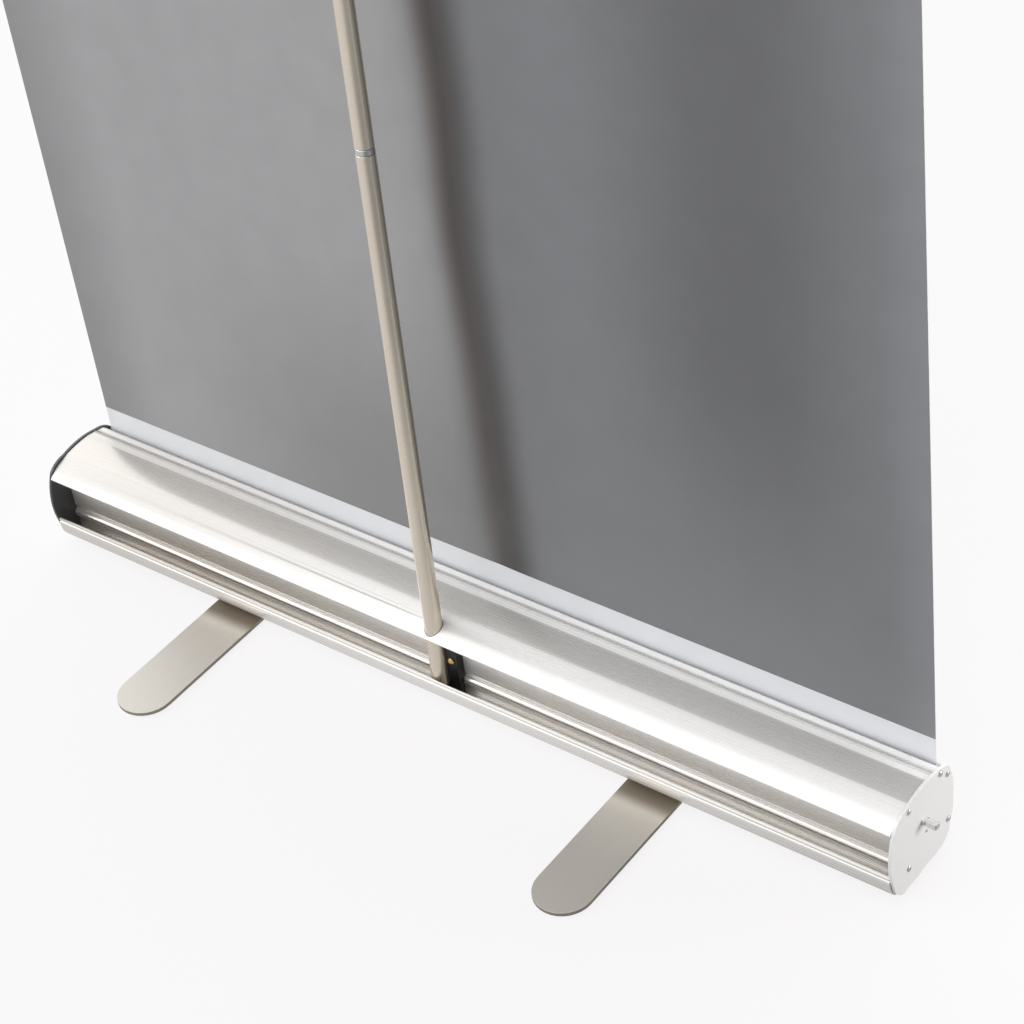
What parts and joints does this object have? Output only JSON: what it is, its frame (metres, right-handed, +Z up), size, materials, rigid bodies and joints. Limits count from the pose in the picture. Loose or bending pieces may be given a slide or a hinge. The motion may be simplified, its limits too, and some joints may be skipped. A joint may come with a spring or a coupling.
{
  "type": "roll-up banner stand",
  "caption": "Free-standing roll-up banner stand: spring roller in an extruded housing, swing-out feet, sectional rear pole and a snap rail holding a wide grey film.",
  "frame": {"origin": "on the floor, at the middle of the outline of the stand in X and Y: the line through both foot pivots, under the housing", "axes": "+Z up; +X along the housing from the tension pin's end to the idle end; +Y to the rear, where the pole stands; the printed side of the film faces -Y"},
  "size_m": [0.8792, 0.3624, 2.0841],
  "materials": {
    "satin_aluminium": "satin anodised extrusion",
    "plate_paint": "matte light grey",
    "foot_steel": "satin nickel plate",
    "pole_alloy": "drawn tube, satin",
    "bright_steel": "bright plated",
    "brass_zinc": "yellow passivated plating",
    "spring_steel": "oiled",
    "black_plastic": "moulded, matte",
    "rubber": "soft, matte",
    "leader_film": "white polyester film, satin",
    "banner_film": "grey blockout film, matte",
    "bungee_cord": "braided"
  },
  "bodies": {
    "base": {"housing_shell": "satin_aluminium", "end_plate_left": "plate_paint", "end_plate_right": "plate_paint", "plate_screw_slot_rear_left": "bright_steel", "plate_screw_slot_front_left": "bright_steel", "plate_screw_rear_top_left": "bright_steel", "plate_screw_front_low_left": "bright_steel", "plate_screw_rear_low_left": "bright_steel", "plate_screw_slot_rear_right": "bright_steel", "plate_screw_slot_front_right": "bright_steel", "plate_screw_rear_top_right": "bright_steel", "plate_screw_front_low_right": "bright_steel", "plate_screw_rear_low_right": "bright_steel", "idle_stub": "bright_steel", "tension_axle": "bright_steel", "torsion_spring": "spring_steel", "leader_strip": "leader_film", "banner_film": "banner_film", "pole_seat": "black_plastic", "seat_screw": "brass_zinc", "foot_bolt_left": "bright_steel", "foot_bolt_right": "bright_steel", "foot_washer_left": "black_plastic", "foot_washer_right": "black_plastic", "foot_nut_left": "bright_steel", "foot_nut_right": "bright_steel"},
    "roller": {"roller_tube": "satin_aluminium", "leader_wraps": "leader_film", "roller_plug_left": "black_plastic", "roller_plug_right": "black_plastic", "spring_anchor_plug": "black_plastic"},
    "foot_swing_left": {"foot_left": "foot_steel", "foot_pad_left_front": "rubber", "foot_pad_left_rear": "rubber"},
    "foot_swing_right": {"foot_right": "foot_steel", "foot_pad_right_front": "rubber", "foot_pad_right_rear": "rubber"},
    "rail": {"rail_rear": "satin_aluminium", "rail_cap_left": "black_plastic", "rail_cap_right": "black_plastic"},
    "jaw": {"rail_jaw": "satin_aluminium"},
    "pole_1": {"pole_section_1": "pole_alloy", "pole_spigot_1": "bright_steel", "pole_foot_plug": "rubber", "bungee_cord": "bungee_cord"},
    "pole_2": {"pole_section_2": "pole_alloy", "pole_spigot_2": "bright_steel"},
    "pole_3": {"pole_section_3": "pole_alloy", "pole_spigot_3": "bright_steel"},
    "pole_4": {"pole_section_4": "pole_alloy", "pole_tip": "black_plastic"}
  },
  "joints": [
    {"name": "foot_left_swing", "type": "hinge", "parent": "base", "child": "foot_swing_left", "pos_m": [-0.20355, 0, 0.003], "axis": [0, 0, 1], "range_deg": [0, 90]},
    {"name": "foot_right_swing", "type": "hinge", "parent": "base", "child": "foot_swing_right", "pos_m": [0.23345, 0, 0.003], "axis": [0, 0, -1], "range_deg": [0, 90]},
    {"name": "rail_slide", "type": "slide", "parent": "base", "child": "rail", "axis": [0, 0, 1], "range_m": [-1.95, 0], "deforming": ["banner_film", "leader_strip"]},
    {"name": "roller_spin", "type": "hinge", "parent": "base", "child": "roller", "pos_m": [0.00545, -0.002, 0.056], "axis": [1, 0, 0], "range_deg": [0, 6262]},
    {"name": "rail_jaw_open", "type": "hinge", "parent": "rail", "child": "jaw", "pos_m": [0.00545, -0.0372, 2.0812], "axis": [-1, 0, 0], "range_deg": [0, 60]},
    {"name": "pole_lift", "type": "slide", "parent": "base", "child": "pole_1", "axis": [-0.001, -0.0279, 0.9996], "range_m": [0, 0.08]},
    {"name": "pole_2_pull", "type": "slide", "parent": "pole_1", "child": "pole_2", "axis": [-0.001, -0.0279, 0.9996], "range_m": [0, 0.05]},
    {"name": "pole_3_pull", "type": "slide", "parent": "pole_2", "child": "pole_3", "axis": [-0.001, -0.0279, 0.9996], "range_m": [0, 0.05]},
    {"name": "pole_4_pull", "type": "slide", "parent": "pole_3", "child": "pole_4", "axis": [-0.001, -0.0279, 0.9996], "range_m": [0, 0.05]}
  ],
  "couplings": [
    {"joint": "roller_spin", "follows": "rail_slide", "rad_per_m": -56.02}
  ]
}
